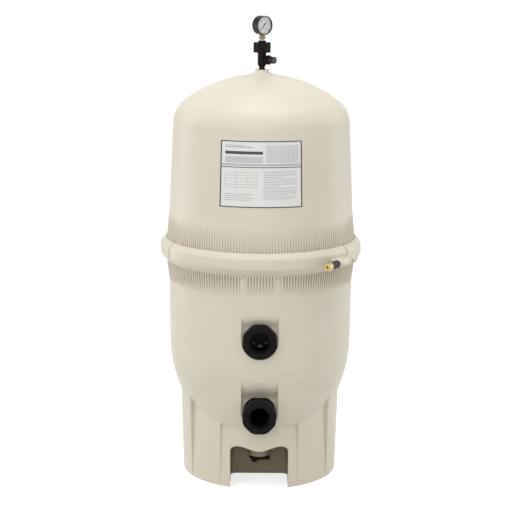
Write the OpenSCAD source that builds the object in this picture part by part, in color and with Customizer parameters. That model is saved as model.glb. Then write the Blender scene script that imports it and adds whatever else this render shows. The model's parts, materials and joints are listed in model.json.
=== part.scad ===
// Vertical-grid pool filter: two-piece moulded tank closed by a segmented V-clamp,
// with bulkhead unions in front, relief valve and pressure gauge on top, and eight
// filter grids hung from a manifold inside. Millimetres, +Z up, front towards -Y.

/* [Tank] */
// Outer radius of the tank wall at the belly
tank_r = 255.5; // [252:0.5:260]
// How much wider the tank wall is just under the flange than at the belly
top_flare = 2; // [1:0.5:3]
// Wall of tank and lid
wall = 8; // [6:0.5:10]
// Height of the parting plane between tank and lid
parting_z = 640; // [630:1:650]
// Height where the straight wall turns into the bowl
belly_z = 380; // [370:1:395]
// Height of the lowest point of the bowl's outside
bowl_z = 63; // [58:1:70]
// Radius of the bowl's round end as a share of the tank's
bowl_end_share = 0.822; // [0.81:0.002:0.84]
// How far the front of the bowl bulges to carry the ports
bulge = 28; // [24:1:32]

/* [Lid] */
// How much wider the lid wall is at the flange than the tank at the belly
lid_flare = 4.7; // [4:0.1:5.5]
// Draft angle of the lid wall
lid_draft = 2.75; // [1:0.05:3]
// Height over the parting plane where the lid wall turns into the dome
shoulder_h = 350; // [345:1:358]
// Radius of the dome's knuckle
knuckle_r = 80; // [70:1:90]
// Radius of the dome's crown
crown_r = 353; // [340:1:370]
// Height of the neck's top face over the parting plane
neck_h = 498; // [496:1:502]
// Outer radius of the neck
neck_r = 19.5; // [18:0.5:22]
// Radius of the hollow sweep from the neck into the dome
neck_sweep_r = 16; // [12:1:18]

/* [Flange and clamp] */
// How far the flanges stand out from the tank's belly
flange_out = 19.5; // [18:0.5:21]
// Height of each flange at its rim
flange_rim = 11; // [9:0.5:12]
// Slope of the flanges' wedge faces
wedge_angle = 54; // [50:1:58]
// How far the clamp's inner lips stand out from the tank's belly
lip_out = 8.5; // [8.2:0.1:10]
// Half the height of the clamp at its lips
lip_half = 34; // [32:0.5:36]
// Wall of the clamp band outside the flanges
band_t = 6; // [5:0.5:8]
// Radial gap between flange rim and clamp
rim_gap = 1; // [0.5:0.1:1.5]
// Gap between the wedge faces of flange and clamp
wedge_gap = 0.35; // [0.3:0.05:0.6]
// Azimuth of the clamp's T-bolt gap, from the front towards +X
bolt_az = 57; // [50:1:64]
// Angle left open between neighbouring clamp segments
joint_open = 3; // [2:0.5:5]

/* [Flange ribs] */
// Number of ribs round each flange
rib_count = 206; // [180:2:220]
// Thickness of a rib
rib_t = 3.8; // [3:0.1:4.2]
// Gap between the ribs' outer edges and the clamp's lips
rib_gap = 0.5; // [0.4:0.1:1.2]
// Length of the lid's ribs above the clamp
lid_rib_h = 75; // [60:1:80]
// Length of the tank's ribs below the clamp
tank_rib_h = 52; // [40:1:60]
// Distance of the two rib-free strips from the middle of the front
strip_x = 48; // [44:1:52]
// Width of each rib-free strip
strip_w = 14; // [10:1:18]

/* [Skirt] */
// Set-in of the skirt's foot from the tank's belly
foot_in = 37.5; // [36:0.5:41]
// Set-in of the side panels from the belly, where they meet the bowl
side_panel_in = 30.5; // [29.5:0.5:33.5]
// Set-in of the flank panels from the belly, where they meet the bowl
flank_panel_in = 42.5; // [39.5:0.5:45.5]
// Set-in of the front and back panels from the belly, where they meet the bowl
face_panel_in = 49.5; // [47.5:0.5:52.5]
// Azimuth of the step between face and flank panels
face_step_az = 30; // [27:1:33]
// Azimuth of the step between flank and side panels
flank_step_az = 60; // [56:1:64]
// Set-back of the flank panels from the side panels on the floor, half that of the face panels
foot_step = 0.6; // [0.4:0.1:1.5]
// Wall of the skirt
skirt_wall = 8; // [6:0.5:10]
// Height where the skirt's panels meet the bowl
skirt_top_z = 237; // [230:1:244]
// Half the width of the drain niche in front
niche_half = 80; // [74:1:84]
// Distance from the axis to the niche's back wall
niche_back_y = 85; // [80:1:90]
// Corner radius of the niche in plan and at its top
niche_corner_r = 16; // [10:1:20]
// Height of the niche's opening at its sides
niche_h = 118; // [110:1:124]

/* [Ports] */
// Height of the outlet port's axis
outlet_z = 220; // [216:1:226]
// Distance between the two ports
port_pitch = 210; // [205:1:215]
// Set-in of the outlet's pad from the tank's belly
outlet_pad_in = 47.5; // [45.5:0.5:49.5]
// Set-in of the inlet's pad from the tank's belly
inlet_pad_in = 17.5; // [15.5:0.5:19.5]
// How far the faces of both union nuts stand out from the tank's belly
port_out = 11.5; // [9.5:0.5:14.5]
// Thickness of the bulkheads' gaskets
gasket_t = 2; // [1.5:0.5:3]
// Radius of the bulkheads' gaskets and of the nuts inside the tank
locknut_r = 45; // [43:1:47]
// Thickness of the nuts inside the tank
locknut_t = 14; // [12:1:16]
// Radius of the tailpieces inside the union nuts
tailpiece_r = 34.5; // [34:0.1:35]
// Radius of the pockets round the ports
pocket_r = 50; // [49:0.5:53]
// Height of a pocket's flat back over the port's axis
ceiling_h = 40; // [36:1:44]
// Radius of the hollow sweep from a pocket's back into its ceiling
ceiling_r = 22; // [16:1:26]
// Lean of the ceiling where it leaves the hollow sweep
ceiling_lean = 50; // [40:1:56]
// Outer radius of the threaded bulkhead tube
bulkhead_r = 36; // [35:0.5:37]
// Radius of the bulkhead body behind the union nut
bulkhead_body_r = 40.5; // [39.5:0.5:41]
// Corner radius of the octagonal union nuts
union_r = 47; // [46:0.5:48]
// Depth of the union nuts
union_depth = 25; // [22:1:26]
// Bore of the union tailpieces, for 2 inch pipe
port_bore_r = 30.2; // [29:0.1:31]
// Bore of the bulkheads behind the tailpieces
bulkhead_bore_r = 26; // [24:0.5:28]

/* [Drain] */
// Distance from the axis to the drain, towards the front
drain_y = 132; // [128:1:134]
// Height of the drain boss's lower face
drain_z = 76; // [70:1:80]
// Outer radius of the drain boss
drain_boss_r = 33; // [31:0.5:34]
// Radius of the drain plug's thread
drain_thread_r = 20; // [18:0.5:22]
// Radius of the drain plug's head
drain_head_r = 28; // [26:0.5:30]

/* [Valve and gauge] */
// Radius of the relief valve's body
valve_r = 12; // [11:0.5:13]
// Height of the relief valve's outlet axis over the neck
relief_h = 27; // [25:1:29]
// Height of the valve body over the neck
valve_h = 47; // [45:1:50]
// Height of the octagonal valve nut
valve_nut_h = 27; // [24:1:30]
// Azimuth of the relief valve's outlet
relief_az = 52; // [45:1:60]
// Distance from the axis to the end of the relief knob
relief_reach = 44; // [40:1:48]
// Corner radius of the octagonal valve nut
valve_nut_r = 25.5; // [24:0.5:27]
// Outer radius of the gauge case
gauge_r = 25.8; // [25:0.1:27]
// Depth of the gauge case
gauge_depth = 23; // [20:1:25]
// Height of the gauge's centre over the valve nut
gauge_h = 46.5; // [46:0.5:48]
// Azimuth that the gauge's dial faces
gauge_az = 38; // [30:1:45]
// Direction of the gauge's pointer at zero, from the dial's right
pointer_rest = 225; // [215:5:235]
// Radius of the pointer's pivot
pivot_r = 1.6; // [1.4:0.1:1.8]
// Radius of the hole through the lid's neck
neck_bore_r = 6.7; // [6.2:0.1:7.5]

/* [Label] */
// Width of the label along the lid's wall
label_w = 223; // [200:1:230]
// Height of the label
label_h = 176; // [160:1:180]
// Height of the label's lower edge over the parting plane
label_h0 = 154; // [150:1:160]
// Thickness of the label
label_t = 0.6; // [0.4:0.1:1]

/* [T-bolt] */
// Distance from the clamp band's outside to the bolt's axis
bolt_out = 16; // [15:0.5:18]
// Radius of the T-bolt
bolt_r = 4.76; // [4.5:0.01:5]
// Distance from the gap to the spring's seat
seat_t = 56; // [52:1:60]
// Length of the spring
spring_len = 52; // [48:1:56]
// Mean radius of the spring
spring_r = 10.4; // [9.5:0.1:11]
// Radius of the spring's wire
wire_r = 2.1; // [1.8:0.1:2.2]
// Distance from the gap to the seat of the bolt's crosshead
head_t = 46; // [44:1:48]
// Length of the bolt's crosshead
head_len = 30; // [26:1:34]
// Length of bolt past the gap on the nut's side
bolt_len = 130; // [126:1:134]
// Outer radius of the tension nut
nut_r = 13.5; // [12.5:0.5:14]
// Length of the tension nut
nut_len = 27; // [24:1:30]

/* [Grids] */
// Height of the grids' lower edge
grid_z = 240; // [236:1:246]
// Height of a grid
grid_h = 762; // [750:1:770]
// Thickness of a grid
grid_t = 22; // [18:1:25]
// Distance from the axis to a grid's inner edge
grid_in_r = 44; // [42:1:50]
// Set-in of the grids' outer edges from the tank's belly
grid_in = 50.5; // [48:0.5:60]
// Width of the partial grid
partial_w = 60; // [52:1:62]
// Number of grid places round the manifold
grid_places = 8; // [8:1:8]
// Height of the manifold
manifold_h = 52; // [45:1:60]
// Radius of the outlet pipe, 2 inch
pipe_r = 30.1; // [28:0.1:31]
// Distance from the axis to the outlet pipe
pipe_y = 142; // [141:1:144]
// Wall of the outlet elbow round the pipe
elbow_wall = 5; // [4:0.5:5.5]
// Height over the outlet's axis where the pipe stands in its elbow
pipe_seat = 30; // [28:1:34]
// Height of the outlet elbow over the outlet's axis
elbow_rise = 60; // [55:1:65]
// Radius of the grids' nipples in the manifold
nipple_r = 11; // [10:0.5:12]
// Distance from the axis to the full grids' nipples
socket_y = 128; // [120:1:132]
// Radius of the tie rod through the filter pack
rod_r = 4.7; // [4:0.1:5]
// Thickness of the spacer under the grids
spacer_t = 12; // [8:1:14]
// Radius of the inlet's diffuser
diffuser_r = 34; // [32:0.5:35]

/* [Hidden] */
$fa = 4;
$fs = 1.5;
far = 700;

tank_top_r = tank_r + top_flare;
bowl_end_r = tank_r * bowl_end_share;
lid_foot_r = tank_r + lid_flare;
shoulder_z = parting_z + shoulder_h;
neck_z = parting_z + neck_h;
flange_r = tank_r + flange_out;
lip_r = tank_r + lip_out;
groove_r = flange_r + rim_gap;
band_r = groove_r + band_t;
rib_r = lip_r - rib_gap;
bolt_reach = band_r + bolt_out;
skirt_foot_r = tank_r - foot_in;
side_panel_r = tank_r - side_panel_in;
flank_panel_r = tank_r - flank_panel_in;
face_panel_r = tank_r - face_panel_in;
outlet_pad_y = tank_r - outlet_pad_in;
inlet_pad_y = tank_r - inlet_pad_in;
port_face_y = tank_r + port_out;
inlet_z = outlet_z + port_pitch;
bulkhead_len = wall + locknut_t + 6;
elbow_r = pipe_r + elbow_wall;
elbow_bore_r = pipe_r - 3.5;
grid_out_r = tank_r - grid_in;
manifold_z = grid_z + grid_h + 1;
lid_gap = 0.2;
seal_gap = 0.05;
relief_z = neck_z + relief_h;
valve_top_z = neck_z + valve_h;
adapter_z = valve_top_z + valve_nut_h;
gauge_z = adapter_z + gauge_h;
label_z = parting_z + label_h0;

// Bowl: a side arc that is tangent to the round end about end_c
end_c = [0, bowl_z + bowl_end_r];
end_drop = belly_z - end_c[1];
function side_arc_r(r) = (pow(r, 2) + pow(end_drop, 2) - pow(bowl_end_r, 2)) / (2 * (r - bowl_end_r));
bulge_r = tank_r - bulge - 1;
bowl_steps = 9;
ceiling_steps = 5;
inlet_lean = 16;
outlet_lean = 32;
knuckle_steps = 10;
crown_steps = 10;

// Dome: knuckle about knuckle_c, tangent to the drafted wall and to the crown about crown_c.
flange_top_z = parting_z + flange_rim + (flange_r - lid_foot_r) * tan(wedge_angle);
function lid_wall_r(z) = lid_foot_r - (z - flange_top_z) * tan(lid_draft);
knuckle_c = [lid_wall_r(shoulder_z) - knuckle_r / cos(lid_draft), shoulder_z];
crown_c = [0, shoulder_z - sqrt(pow(crown_r - knuckle_r, 2) - pow(knuckle_c[0], 2))];
dome_dir = (knuckle_c - crown_c) / norm(knuckle_c - crown_c);

// Clamp
wedge_slope = tan(wedge_angle);
function wedge_half(r) = flange_rim + (flange_r - r) * wedge_slope;
function groove_half(r) = wedge_half(r) + wedge_gap / cos(wedge_angle);
segment_angle = 120;

// An upright turned solid from a half profile
module turned() {
    rotate_extrude($fn = 180) children();
}

// A part of a turned solid between two azimuths, counted from the front towards +X
module turned_sector(from_az, to_az) {
    rotate([0, 0, from_az - 90]) rotate_extrude(angle = to_az - from_az, $fn = 180) children();
}

// A cylinder that runs forwards, between two distances from the tank's axis plane
module forward_cylinder(r, from_y, to_y) {
    translate([0, -from_y, 0]) rotate([90, 0, 0]) cylinder(r = r, h = to_y - from_y, $fn = 96);
}

// A ring that runs forwards
module forward_ring(r_out, r_in, from_y, to_y) {
    difference() {
        forward_cylinder(r_out, from_y, to_y);
        forward_cylinder(r_in, from_y - 1, to_y + 1);
    }
}

// The tank's parts
// Points of a circular arc, without its first point
function arc_points(centre, r, from_a, to_a, steps) =
    [for (i = [1:steps]) let (a = from_a + (to_a - from_a) * i / steps) centre + r * [cos(a), sin(a)]];

// Bowl outline from the belly down to the axis
function bowl_points(r, inset) =
    let (arc_r = side_arc_r(r), side_c = [r - arc_r, belly_z],
        turn_a = atan2(end_c[1] - side_c[1], end_c[0] - side_c[0]))
    concat([[r - inset, belly_z]],
        arc_points(side_c, arc_r - inset, 0, turn_a, bowl_steps),
        arc_points(end_c, bowl_end_r - inset, turn_a, -90, bowl_steps));

// The front of the bowl, moved forwards
module bulged_bowl(inset) {
    translate([0, -bulge, 0]) turned() polygon(concat(bowl_points(bulge_r, inset), [[0, belly_z]]));
}

// The recess round a port: a flat back, and a ceiling that sweeps out and up to
// leave the wall at a shallow angle, end_lean from the vertical
module pocket(port_z, pad_y, end_lean, grow) {
    front_y = port_face_y + far / 10;
    back = [-pad_y + grow, ceiling_h + grow];
    hollow = arc_points(back - [ceiling_r, 0], ceiling_r, 0, ceiling_lean, ceiling_steps);
    turn = hollow[ceiling_steps - 1];
    crest = arc_points(turn + ceiling_r * [cos(ceiling_lean), sin(ceiling_lean)], ceiling_r,
        180 + ceiling_lean, 180 + end_lean, ceiling_steps);
    lip = crest[ceiling_steps - 1];
    run = front_y + lip[0];
    translate([0, 0, port_z]) {
        forward_cylinder(pocket_r + grow, pad_y - grow, front_y);
        translate([-pocket_r - grow, 0, 0]) rotate([90, 0, 90]) linear_extrude(2 * (pocket_r + grow))
            polygon(concat([[back[0], 0], back], hollow, crest,
                [lip + run * [-1, 1 / tan(end_lean)], [-front_y, 0]]));
    }
}

// The skirt's turned shell, with its face and flank panels set back from the side panels
module skirt_shell() {
    top_z = skirt_top_z + 60;
    module set_back(middle_az, half_az, foot_r, joint_r) {
        rise = (joint_r - foot_r) / skirt_top_z;
        turned_sector(middle_az - half_az, middle_az + half_az)
            polygon([[foot_r - 2 * rise, -2], [far / 2, -2], [far / 2, top_z + 2],
                [foot_r + rise * (top_z + 2), top_z + 2]]);
    }
    difference() {
        turned() polygon([[skirt_foot_r - skirt_wall, 0], [skirt_foot_r, 0],
            [side_panel_r, skirt_top_z], [side_panel_r, top_z], [face_panel_r - skirt_wall, top_z],
            [face_panel_r - skirt_wall, skirt_top_z]]);
        for (turn = [0, 180]) set_back(turn, flank_step_az, skirt_foot_r - foot_step, flank_panel_r);
        for (turn = [0, 180]) set_back(turn, face_step_az, skirt_foot_r - 2 * foot_step, face_panel_r);
    }
}

module niche_plan(grow) {
    half = niche_half + grow;
    back = niche_back_y - grow;
    corner = niche_corner_r + grow;
    for (side = [-1, 1]) translate([side * (half - corner), -back - corner]) circle(r = corner);
    translate([-half, -far]) square([2 * half, far - back - corner]);
    translate([corner - half, -far]) square([2 * (half - corner), far - back]);
}

// Front view of the niche's opening, with rounded upper corners
module niche_front() {
    corner = [niche_half - niche_corner_r, niche_h - niche_corner_r];
    half_view = concat([[niche_half, -1]], [[niche_half, corner[1]]],
        arc_points(corner, niche_corner_r, 0, 90, 6), [[niche_half / 2, niche_h + 50], [niche_half / 2, far]]);
    last = len(half_view) - 1;
    polygon(concat(half_view, [for (i = [0:last]) [-half_view[last - i][0], half_view[last - i][1]]]));
}

module skirt() {
    difference() {
        union() {
            skirt_shell();
            intersection() {
                linear_extrude(niche_h + 60) niche_plan(skirt_wall);
                cylinder(r = face_panel_r - 2, h = belly_z, $fn = 180);
            }
        }
        intersection() {
            translate([0, 0, -1]) linear_extrude(far) niche_plan(0);
            rotate([90, 0, 0]) linear_extrude(far) niche_front();
        }
    }
}

module rib_ring(z, h) {
    inner = tank_r - wall / 2;
    outer = rib_r + 4;
    half = asin(rib_t / 2 / inner);
    half_out = asin(rib_t / 2 / outer);
    step = 360 / rib_count;
    translate([0, 0, z]) linear_extrude(h)
        polygon([for (i = [0:rib_count - 1]) for (corner = [[inner, -step / 2], [inner, -half],
            [outer, -half_out], [outer, half_out], [inner, half]])
            corner[0] * [cos(i * step + corner[1]), sin(i * step + corner[1])]]);
}

module tank_ribs() {
    foot_z = parting_z - lip_half - tank_rib_h;
    top_z = parting_z - flange_rim - 8;
    difference() {
        intersection() {
            rib_ring(foot_z, top_z - foot_z);
            turned() polygon([[tank_r - 3, foot_z], [tank_top_r - 0.4, foot_z],
                [rib_r, parting_z - lip_half], [rib_r, top_z], [tank_r - 3, top_z]]);
        }
        for (side = [-1, 1]) translate([side * strip_x - strip_w / 2, -far, foot_z - 1])
            cube([strip_w, far, tank_rib_h + 1]);
    }
}

module tank_cavity() {
    difference() {
        union() {
            turned() polygon(concat([[0, parting_z + 1], [tank_top_r - wall, parting_z + 1],
                [tank_top_r - wall, parting_z - lip_half]], bowl_points(tank_r, wall)));
            bulged_bowl(wall);
        }
        pocket(inlet_z, inlet_pad_y, inlet_lean, wall);
        pocket(outlet_z, outlet_pad_y, outlet_lean, wall);
        translate([0, -drain_y, drain_z]) cylinder(r = drain_boss_r, h = 26, $fn = 64);
    }
}

module tank_body() {
    difference() {
        union() {
            turned() polygon(concat([[0, parting_z], [flange_r, parting_z],
                [flange_r, parting_z - flange_rim], [tank_top_r, parting_z - wedge_half(tank_top_r)],
                [tank_top_r, parting_z - lip_half]], bowl_points(tank_r, 0)));
            bulged_bowl(0);
            skirt();
            translate([0, -drain_y, drain_z]) cylinder(r = drain_boss_r, h = 40, $fn = 64);
        }
        tank_cavity();
        pocket(inlet_z, inlet_pad_y, inlet_lean, 0);
        pocket(outlet_z, outlet_pad_y, outlet_lean, 0);
        translate([0, 0, inlet_z]) forward_cylinder(bulkhead_r + 0.4, 180, far / 2);
        translate([0, 0, outlet_z]) forward_cylinder(bulkhead_r + 0.4, 160, far / 2);
        translate([0, -drain_y, drain_z - 1]) cylinder(r = drain_thread_r + 0.3, h = 60, $fn = 64);
        turned() translate([lip_r - 3, parting_z - 5.6]) square([6, 7]);
    }
}

module tank_bottom() {
    color("wheat") {
        tank_body();
        tank_ribs();
    }
}

module tank_o_ring() {
    color("black") turned() translate([lip_r, parting_z - 5.5 + 2.6]) circle(r = 2.6, $fn = 24);
}

// The two ports
module port_gasket(port_z, pad_y) {
    color("black") translate([0, 0, port_z]) forward_ring(locknut_r, bulkhead_r + 0.4, pad_y, pad_y + gasket_t);
}

module port_bulkhead(port_z, pad_y) {
    nut_back_y = port_face_y - union_depth;
    color("dimgray") translate([0, 0, port_z]) difference() {
        union() {
            forward_cylinder(bulkhead_r, pad_y - bulkhead_len, nut_back_y + 2);
            forward_cylinder(bulkhead_body_r, pad_y + gasket_t, nut_back_y - 0.6);
            forward_cylinder(bulkhead_r, nut_back_y - 1, port_face_y - 9);
        }
        forward_cylinder(bulkhead_bore_r, 0, far / 2);
    }
}

module port_locknut(port_z, pad_y) {
    color("dimgray") translate([0, 0, port_z]) difference() {
        intersection() {
            forward_octagon(locknut_r * 1.05, pad_y - wall - locknut_t, pad_y - wall);
            forward_cylinder(locknut_r, pad_y - wall - locknut_t, pad_y - wall);
        }
        forward_cylinder(bulkhead_r + 0.1, 0, far / 2);
    }
}

module port_tailpiece(port_z) {
    color("dimgray") translate([0, 0, port_z]) difference() {
        union() {
            forward_cylinder(bulkhead_r, port_face_y - 9, port_face_y - 6);
            forward_cylinder(tailpiece_r, port_face_y - 6, port_face_y + 1);
        }
        forward_cylinder(port_bore_r, port_face_y - 8, far / 2);
        forward_cylinder(bulkhead_bore_r, 0, far / 2);
    }
}

// A prism with eight flats that runs forwards
module forward_octagon(corner_r, from_y, to_y) {
    translate([0, -from_y, 0]) rotate([90, 0, 0]) rotate([0, 0, 22.5])
        cylinder(r = corner_r, h = to_y - from_y, $fn = 8);
}

module port_union_nut(port_z) {
    nut_back_y = port_face_y - union_depth;
    color("dimgray") translate([0, 0, port_z]) difference() {
        intersection() {
            forward_octagon(union_r * 1.05, nut_back_y, port_face_y);
            forward_cylinder(union_r, nut_back_y, port_face_y);
        }
        forward_cylinder(bulkhead_r + 0.5, 0, port_face_y - 5.5);
        forward_cylinder(tailpiece_r + 0.4, 0, far / 2);
    }
}

module inlet_gasket() { port_gasket(inlet_z, inlet_pad_y); }
module inlet_bulkhead() { port_bulkhead(inlet_z, inlet_pad_y); }
module inlet_locknut() { port_locknut(inlet_z, inlet_pad_y); }
module inlet_tailpiece() { port_tailpiece(inlet_z); }
module inlet_union_nut() { port_union_nut(inlet_z); }
module outlet_gasket() { port_gasket(outlet_z, outlet_pad_y); }
module outlet_bulkhead() { port_bulkhead(outlet_z, outlet_pad_y); }
module outlet_locknut() { port_locknut(outlet_z, outlet_pad_y); }
module outlet_tailpiece() { port_tailpiece(outlet_z); }
module outlet_union_nut() { port_union_nut(outlet_z); }

// A hollow elbow of pipe from a port's bulkhead, turned upwards at the pipe's distance
module port_elbow(port_z, pad_y, axis_y, top_z) {
    inner_end = pad_y - bulkhead_len;
    difference() {
        union() {
            translate([0, 0, port_z]) forward_cylinder(elbow_r, axis_y, inner_end);
            translate([0, -axis_y, port_z]) sphere(r = elbow_r, $fn = 64);
            translate([0, -axis_y, port_z]) cylinder(r = elbow_r, h = top_z - port_z, $fn = 64);
        }
        translate([0, 0, port_z]) forward_cylinder(elbow_bore_r, axis_y, inner_end + 1);
        translate([0, -axis_y, port_z]) sphere(r = elbow_bore_r, $fn = 64);
        translate([0, -axis_y, port_z]) cylinder(r = elbow_bore_r, h = far / 2, $fn = 64);
        translate([0, -axis_y, port_z + pipe_seat]) cylinder(r = pipe_r + 0.1, h = far / 2, $fn = 64);
    }
}

module inlet_diffuser() {
    inner_end = inlet_pad_y - bulkhead_len;
    color("gray") difference() {
        union() {
            translate([0, 0, inlet_z]) forward_cylinder(diffuser_r, inner_end - 16, inner_end);
            translate([0, 0, inlet_z]) forward_ring(diffuser_r + 10, diffuser_r - 2, inner_end - 18, inner_end - 14);
        }
        translate([0, 0, inlet_z]) forward_cylinder(diffuser_r - 5, inner_end - 12, inner_end + 1);
        for (i = [0:7]) translate([0, 0, inlet_z]) rotate([0, i * 45, 0])
            translate([diffuser_r - 12, -(inner_end - 10), -7]) cube([20, 8, 14]);
    }
}

module outlet_elbow() {
    color("gray") port_elbow(outlet_z, outlet_pad_y, pipe_y, outlet_z + elbow_rise);
}

module outlet_pipe() {
    color("white") translate([0, -pipe_y, 0]) difference() {
        translate([0, 0, outlet_z + pipe_seat])
            cylinder(r = pipe_r, h = manifold_z + 12 - outlet_z - pipe_seat, $fn = 64);
        cylinder(r = pipe_r - 4, h = 2 * far, $fn = 64);
    }
}

// The filter pack
function place_az(i) = i * 360 / grid_places;

module manifold() {
    hub_r = 62;
    color("gray") translate([0, 0, manifold_z]) difference() {
        union() {
            cylinder(r = hub_r, h = manifold_h, $fn = 96);
            for (i = [0:grid_places - 1]) rotate([0, 0, place_az(i)]) {
                translate([-17, -socket_y, 0]) cube([34, socket_y, manifold_h * 0.7]);
                translate([0, -socket_y, 0]) cylinder(r = 17, h = manifold_h * 0.7, $fn = 48);
            }
            translate([0, -pipe_y, 0]) cylinder(r = elbow_r, h = manifold_h * 0.7, $fn = 64);
            translate([-17, -pipe_y, 0]) cube([34, pipe_y, manifold_h * 0.7]);
        }
        for (i = [1:grid_places - 1]) rotate([0, 0, place_az(i)]) translate([0, -socket_y, -1])
            cylinder(r = nipple_r + 0.1, h = 20, $fn = 32);
        translate([0, -(pipe_y - 60), -1]) cylinder(r = nipple_r + 0.1, h = 20, $fn = 32);
        translate([0, -pipe_y, -1]) cylinder(r = pipe_r + 0.1, h = 26, $fn = 64);
        cylinder(r = rod_r + 0.6, h = 2 * far, center = true, $fn = 32);
    }
}

// A flat filter grid of a given span, with its nipple at a distance from the axis
module grid_panel(in_r, out_r, nipple_y) {
    corner = 12;
    color("white") {
        translate([grid_t / 2, 0, 0]) rotate([0, -90, 0]) linear_extrude(grid_t) {
            for (z = [grid_z + corner, grid_z + grid_h - corner], y = [in_r + corner, out_r - corner])
                translate([z, -y]) circle(r = corner);
            translate([grid_z, corner - out_r]) square([grid_h, out_r - in_r - 2 * corner]);
            translate([grid_z + corner, -out_r]) square([grid_h - 2 * corner, out_r - in_r]);
        }
        translate([0, -nipple_y, grid_z + grid_h - 1]) cylinder(r = nipple_r, h = 16, $fn = 32);
    }
}

module full_grid(i) {
    rotate([0, 0, place_az(i)]) grid_panel(grid_in_r, grid_out_r, socket_y);
}

module grid_1() { full_grid(1); }
module grid_2() { full_grid(2); }
module grid_3() { full_grid(3); }
module grid_4() { full_grid(4); }
module grid_5() { full_grid(5); }
module grid_6() { full_grid(6); }
module grid_7() { full_grid(7); }
module partial_grid() { grid_panel(grid_in_r, grid_in_r + partial_w, pipe_y - 60); }

module grid_spacer() {
    color("gray") translate([0, 0, grid_z - spacer_t]) difference() {
        union() {
            cylinder(r = 40, h = spacer_t, $fn = 64);
            for (i = [0:grid_places - 1]) rotate([0, 0, place_az(i)])
                translate([-grid_t / 2, -(i == 0 ? grid_in_r + partial_w : grid_out_r), 0])
                    cube([grid_t, (i == 0 ? grid_in_r + partial_w : grid_out_r) - 30, spacer_t]);
        }
        cylinder(r = rod_r + 0.6, h = 99, center = true, $fn = 32);
    }
}

module tie_rod() {
    color("silver") translate([0, 0, grid_z - spacer_t - 12])
        cylinder(r = rod_r, h = manifold_z + manifold_h + 34 - grid_z + spacer_t + 12, $fn = 32);
}

module retainer_washer() {
    color("silver") translate([0, 0, manifold_z + manifold_h]) difference() {
        cylinder(r = 22, h = 2.5, $fn = 48);
        cylinder(r = rod_r + 0.3, h = 9, center = true, $fn = 32);
    }
}

module wing_nut() {
    base_z = manifold_z + manifold_h + 2.5;
    color("silver") translate([0, 0, base_z]) difference() {
        union() {
            cylinder(r = 9, h = 11, $fn = 48);
            for (side = [0, 180]) rotate([0, 0, side]) translate([0, 2, 0]) rotate([90, 0, 0])
                linear_extrude(4) polygon([[0, 1], [9, 1], [26, 14], [26, 21], [20, 22], [8, 10], [0, 10]]);
        }
        cylinder(r = rod_r + 0.1, h = 99, center = true, $fn = 32);
    }
}

module air_bleed_tube() {
    tube_r = 4;
    tube_h = 14;
    reach = 45;
    color("white") translate([reach * sin(22.5), reach * cos(22.5), manifold_z + manifold_h]) difference() {
        union() {
            cylinder(r = tube_r, h = tube_h, $fn = 32);
            translate([0, 0, tube_h - 2]) cylinder(r = 11, h = 20, $fn = 32);
        }
        translate([0, 0, -1]) cylinder(r = tube_r - 1.5, h = tube_h + 10, $fn = 32);
    }
}

// The drain
module drain_gasket() {
    color("black") translate([0, -drain_y, drain_z - gasket_t]) difference() {
        cylinder(r = drain_head_r - 2, h = gasket_t, $fn = 64);
        translate([0, 0, -1]) cylinder(r = drain_thread_r + 0.3, h = 9, $fn = 64);
    }
}

module drain_plug() {
    head_h = 9;
    color("black") translate([0, -drain_y, drain_z - gasket_t]) {
        translate([0, 0, -0.1]) cylinder(r = drain_thread_r, h = 26, $fn = 64);
        translate([0, 0, -head_h]) cylinder(r = drain_head_r, h = head_h - 0.05, $fn = 96);
        for (i = [0:2]) rotate([0, 0, i * 120 + 30]) translate([-7, drain_head_r - 6, -head_h - 6])
            cube([14, 8, 13]);
        translate([0, 0, -head_h - 6]) cylinder(r = 12, h = 8, $fn = 6);
    }
}

// The lid
function lid_points(inset) =
    let (foot_z = parting_z - 1, dome_a = atan2(dome_dir[1], dome_dir[0]))
    concat([[0, foot_z], [lid_wall_r(foot_z) - inset / cos(lid_draft), foot_z]],
        [knuckle_c + (knuckle_r - inset) * [cos(lid_draft), sin(lid_draft)]],
        arc_points(knuckle_c, knuckle_r - inset, lid_draft, dome_a, knuckle_steps),
        arc_points(crown_c, crown_r - inset, dome_a, 90, crown_steps));

module lid_neck_half() {
    foot_z = crown_c[1] + sqrt(pow(crown_r, 2) - pow(neck_r + neck_sweep_r, 2));
    sweep_z = foot_z + neck_sweep_r - 3;
    difference() {
        translate([0, foot_z - 12]) square([neck_r + neck_sweep_r, sweep_z - foot_z + 12]);
        translate([neck_r + neck_sweep_r, sweep_z]) circle(r = neck_sweep_r, $fn = 64);
    }
    translate([0, foot_z]) square([neck_r, neck_z - foot_z]);
}

module lid_ribs() {
    foot_z = parting_z + flange_rim + 8;
    top_z = parting_z + lip_half + lid_rib_h;
    intersection() {
        rib_ring(foot_z, top_z - foot_z);
        turned() polygon([[lid_wall_r(top_z) - 3, foot_z], [rib_r, foot_z], [rib_r, parting_z + lip_half],
            [lid_wall_r(top_z) - 0.3, top_z], [lid_wall_r(top_z) - 3, top_z]]);
    }
}

module tank_lid() {
    color("wheat") {
        difference() {
            union() {
                turned() polygon(lid_points(0));
                turned() polygon([[0, parting_z + lid_gap], [flange_r, parting_z + lid_gap],
                    [flange_r, parting_z + flange_rim], [lid_foot_r - 1, parting_z + wedge_half(lid_foot_r - 1)],
                    [0, parting_z + wedge_half(lid_foot_r - 1)]]);
                turned() lid_neck_half();
            }
            turned() polygon(lid_points(wall));
            translate([0, 0, parting_z - 9]) cylinder(r = far / 2, h = 9 + lid_gap);
            cylinder(r = neck_bore_r, h = 2 * far);
        }
        lid_ribs();
    }
}

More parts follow.
